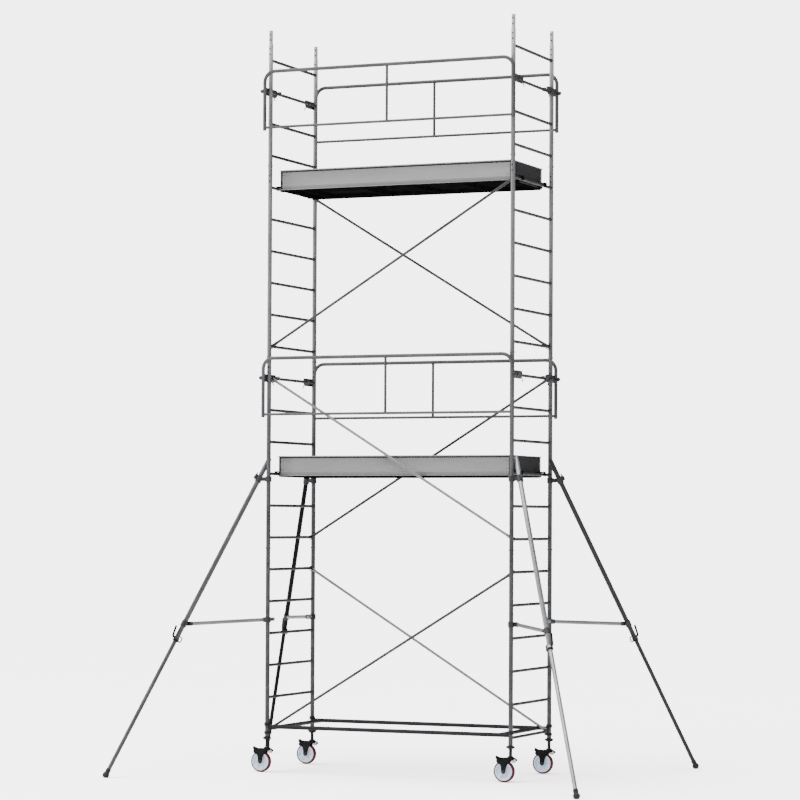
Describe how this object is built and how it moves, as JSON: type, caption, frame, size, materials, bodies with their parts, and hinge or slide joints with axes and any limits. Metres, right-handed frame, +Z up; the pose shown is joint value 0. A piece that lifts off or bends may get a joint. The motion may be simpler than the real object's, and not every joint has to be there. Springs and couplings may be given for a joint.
{
  "type": "mobile tower scaffold",
  "caption": "Mobile tower scaffold with ladder ends, diagonal braces, two hatch decks with toe boards and guardrails, jack castors and telescopic stabilisers.",
  "frame": {"origin": "on the floor under the middle of the tower", "axes": "+X along the tower's length, +Y across it towards the back, +Z up"},
  "size_m": [4.635, 3.4326, 6.983],
  "materials": {
    "galvanised_tube": "hot-dip galvanised, satin",
    "dark_tube": "weathered galvanised, dull",
    "bright_tube": "bright zinc, satin",
    "toe_board": "mill-finish extrusion, brushed along its length",
    "deck": "black underside with a dark anti-slip plate",
    "hatch": "dark film-faced plywood",
    "castor_black": "black powder coat",
    "wheel_nylon": "pale nylon, satin",
    "wheel_tread": "dark red tread",
    "rubber_foot": "black rubber",
    "zinc_hardware": "bright zinc plate"
  },
  "bodies": {
    "tower": {"left_ladder_1": "galvanised_tube", "left_ladder_2": "galvanised_tube", "left_ladder_3": "galvanised_tube", "left_ladder_4": "galvanised_tube", "right_ladder_1": "galvanised_tube", "right_ladder_2": "galvanised_tube", "right_ladder_3": "galvanised_tube", "right_ladder_4": "galvanised_tube", "base_frame": "dark_tube", "front_brace_lower": "galvanised_tube", "front_brace_middle": "galvanised_tube", "front_brace_upper": "galvanised_tube", "front_guardrail_lower": "galvanised_tube", "front_guardrail_upper": "galvanised_tube", "back_brace_lower": "galvanised_tube", "back_brace_middle": "galvanised_tube", "back_brace_upper": "galvanised_tube", "back_guardrail_lower": "galvanised_tube", "back_guardrail_upper": "galvanised_tube", "lower_deck": "deck", "lower_toe_boards": "toe_board", "upper_deck": "deck", "upper_toe_boards": "toe_board"},
    "lower_hatch": {"lower_hatch": "hatch"},
    "upper_hatch": {"upper_hatch": "hatch"},
    "front_left_nut": {"front_left_jack_nut": "dark_tube"},
    "front_left_jack": {"front_left_jack_stem": "galvanised_tube"},
    "front_left_castor": {"front_left_castor_fork": "castor_black"},
    "front_left_wheel": {"front_left_castor_wheel": "wheel_nylon"},
    "front_left_pedal": {"front_left_brake_pedal": "castor_black"},
    "front_left_stabiliser": {"front_left_stabiliser_leg": "bright_tube", "front_left_stabiliser_strut": "bright_tube"},
    "front_left_stabiliser_foot": {"front_left_stabiliser_inner_tube": "bright_tube"},
    "front_right_nut": {"front_right_jack_nut": "dark_tube"},
    "front_right_jack": {"front_right_jack_stem": "galvanised_tube"},
    "front_right_castor": {"front_right_castor_fork": "castor_black"},
    "front_right_wheel": {"front_right_castor_wheel": "wheel_nylon"},
    "front_right_pedal": {"front_right_brake_pedal": "castor_black"},
    "front_right_stabiliser": {"front_right_stabiliser_leg": "bright_tube", "front_right_stabiliser_strut": "bright_tube"},
    "front_right_stabiliser_foot": {"front_right_stabiliser_inner_tube": "bright_tube"},
    "back_left_nut": {"back_left_jack_nut": "dark_tube"},
    "back_left_jack": {"back_left_jack_stem": "galvanised_tube"},
    "back_left_castor": {"back_left_castor_fork": "castor_black"},
    "back_left_wheel": {"back_left_castor_wheel": "wheel_nylon"},
    "back_left_pedal": {"back_left_brake_pedal": "castor_black"},
    "back_left_stabiliser": {"back_left_stabiliser_leg": "bright_tube", "back_left_stabiliser_strut": "bright_tube"},
    "back_left_stabiliser_foot": {"back_left_stabiliser_inner_tube": "bright_tube"},
    "back_right_nut": {"back_right_jack_nut": "dark_tube"},
    "back_right_jack": {"back_right_jack_stem": "galvanised_tube"},
    "back_right_castor": {"back_right_castor_fork": "castor_black"},
    "back_right_wheel": {"back_right_castor_wheel": "wheel_nylon"},
    "back_right_pedal": {"back_right_brake_pedal": "castor_black"},
    "back_right_stabiliser": {"back_right_stabiliser_leg": "bright_tube", "back_right_stabiliser_strut": "bright_tube"},
    "back_right_stabiliser_foot": {"back_right_stabiliser_inner_tube": "bright_tube"}
  },
  "joints": [
    {"name": "lower_hatch_hinge", "type": "hinge", "parent": "tower", "child": "lower_hatch", "pos_m": [-0.6515, 0.25, 2.823], "axis": [-1, 0, 0], "range_deg": [0, 95]},
    {"name": "upper_hatch_hinge", "type": "hinge", "parent": "tower", "child": "upper_hatch", "pos_m": [-0.6515, 0.25, 5.523], "axis": [-1, 0, 0], "range_deg": [0, 95]},
    {"name": "front_left_jack_height", "type": "slide", "parent": "tower", "child": "front_left_jack", "axis": [0, 0, -1], "range_m": [0, 0.2]},
    {"name": "front_left_jack_nut_turn", "type": "hinge", "parent": "tower", "child": "front_left_nut", "pos_m": [-1.225, -0.5, 0.32], "axis": [0, 0, 1], "range_deg": [0, 9001]},
    {"name": "front_left_castor_swivel", "type": "hinge", "parent": "front_left_jack", "child": "front_left_castor", "pos_m": [-1.225, -0.5, 0.229], "axis": [0, 0, 1], "continuous": true},
    {"name": "front_left_wheel_roll", "type": "hinge", "parent": "front_left_castor", "child": "front_left_wheel", "pos_m": [-1.285, -0.5, 0.1], "axis": [0, 1, 0], "continuous": true},
    {"name": "front_left_brake_press", "type": "hinge", "parent": "front_left_castor", "child": "front_left_pedal", "pos_m": [-1.277, -0.5, 0.219], "axis": [0, -1, 0], "range_deg": [0, 12]},
    {"name": "front_left_stabiliser_swing", "type": "hinge", "parent": "tower", "child": "front_left_stabiliser", "pos_m": [-1.225, -0.5, 2.752], "axis": [0, 0, 1], "range_deg": [-25, 25]},
    {"name": "front_left_stabiliser_extend", "type": "slide", "parent": "front_left_stabiliser", "child": "front_left_stabiliser_foot", "axis": [-0.312, -0.3718, -0.8743], "range_m": [-0.3, 0.25]},
    {"name": "front_right_jack_height", "type": "slide", "parent": "tower", "child": "front_right_jack", "axis": [0, 0, -1], "range_m": [0, 0.2]},
    {"name": "front_right_jack_nut_turn", "type": "hinge", "parent": "tower", "child": "front_right_nut", "pos_m": [1.225, -0.5, 0.32], "axis": [0, 0, 1], "range_deg": [0, 9001]},
    {"name": "front_right_castor_swivel", "type": "hinge", "parent": "front_right_jack", "child": "front_right_castor", "pos_m": [1.225, -0.5, 0.229], "axis": [0, 0, 1], "continuous": true},
    {"name": "front_right_wheel_roll", "type": "hinge", "parent": "front_right_castor", "child": "front_right_wheel", "pos_m": [1.165, -0.5, 0.1], "axis": [0, 1, 0], "continuous": true},
    {"name": "front_right_brake_press", "type": "hinge", "parent": "front_right_castor", "child": "front_right_pedal", "pos_m": [1.173, -0.5, 0.219], "axis": [0, -1, 0], "range_deg": [0, 12]},
    {"name": "front_right_stabiliser_swing", "type": "hinge", "parent": "tower", "child": "front_right_stabiliser", "pos_m": [1.225, -0.5, 2.752], "axis": [0, 0, 1], "range_deg": [-25, 25]},
    {"name": "front_right_stabiliser_extend", "type": "slide", "parent": "front_right_stabiliser", "child": "front_right_stabiliser_foot", "axis": [0.312, -0.3718, -0.8743], "range_m": [-0.3, 0.25]},
    {"name": "back_left_jack_height", "type": "slide", "parent": "tower", "child": "back_left_jack", "axis": [0, 0, -1], "range_m": [0, 0.2]},
    {"name": "back_left_jack_nut_turn", "type": "hinge", "parent": "tower", "child": "back_left_nut", "pos_m": [-1.225, 0.5, 0.32], "axis": [0, 0, 1], "range_deg": [0, 9001]},
    {"name": "back_left_castor_swivel", "type": "hinge", "parent": "back_left_jack", "child": "back_left_castor", "pos_m": [-1.225, 0.5, 0.229], "axis": [0, 0, 1], "continuous": true},
    {"name": "back_left_wheel_roll", "type": "hinge", "parent": "back_left_castor", "child": "back_left_wheel", "pos_m": [-1.285, 0.5, 0.1], "axis": [0, 1, 0], "continuous": true},
    {"name": "back_left_brake_press", "type": "hinge", "parent": "back_left_castor", "child": "back_left_pedal", "pos_m": [-1.277, 0.5, 0.219], "axis": [0, -1, 0], "range_deg": [0, 12]},
    {"name": "back_left_stabiliser_swing", "type": "hinge", "parent": "tower", "child": "back_left_stabiliser", "pos_m": [-1.225, 0.5, 2.752], "axis": [0, 0, 1], "range_deg": [-25, 25]},
    {"name": "back_left_stabiliser_extend", "type": "slide", "parent": "back_left_stabiliser", "child": "back_left_stabiliser_foot", "axis": [-0.312, 0.3718, -0.8743], "range_m": [-0.3, 0.25]},
    {"name": "back_right_jack_height", "type": "slide", "parent": "tower", "child": "back_right_jack", "axis": [0, 0, -1], "range_m": [0, 0.2]},
    {"name": "back_right_jack_nut_turn", "type": "hinge", "parent": "tower", "child": "back_right_nut", "pos_m": [1.225, 0.5, 0.32], "axis": [0, 0, 1], "range_deg": [0, 9001]},
    {"name": "back_right_castor_swivel", "type": "hinge", "parent": "back_right_jack", "child": "back_right_castor", "pos_m": [1.225, 0.5, 0.229], "axis": [0, 0, 1], "continuous": true},
    {"name": "back_right_wheel_roll", "type": "hinge", "parent": "back_right_castor", "child": "back_right_wheel", "pos_m": [1.165, 0.5, 0.1], "axis": [0, 1, 0], "continuous": true},
    {"name": "back_right_brake_press", "type": "hinge", "parent": "back_right_castor", "child": "back_right_pedal", "pos_m": [1.173, 0.5, 0.219], "axis": [0, -1, 0], "range_deg": [0, 12]},
    {"name": "back_right_stabiliser_swing", "type": "hinge", "parent": "tower", "child": "back_right_stabiliser", "pos_m": [1.225, 0.5, 2.752], "axis": [0, 0, 1], "range_deg": [-25, 25]},
    {"name": "back_right_stabiliser_extend", "type": "slide", "parent": "back_right_stabiliser", "child": "back_right_stabiliser_foot", "axis": [0.312, 0.3718, -0.8743], "range_m": [-0.3, 0.25]}
  ],
  "couplings": [
    {"joint": "front_left_jack_nut_turn", "follows": "front_left_jack_height", "rad_per_m": 785.4},
    {"joint": "front_right_jack_nut_turn", "follows": "front_right_jack_height", "rad_per_m": 785.4},
    {"joint": "back_left_jack_nut_turn", "follows": "back_left_jack_height", "rad_per_m": 785.4},
    {"joint": "back_right_jack_nut_turn", "follows": "back_right_jack_height", "rad_per_m": 785.4}
  ]
}
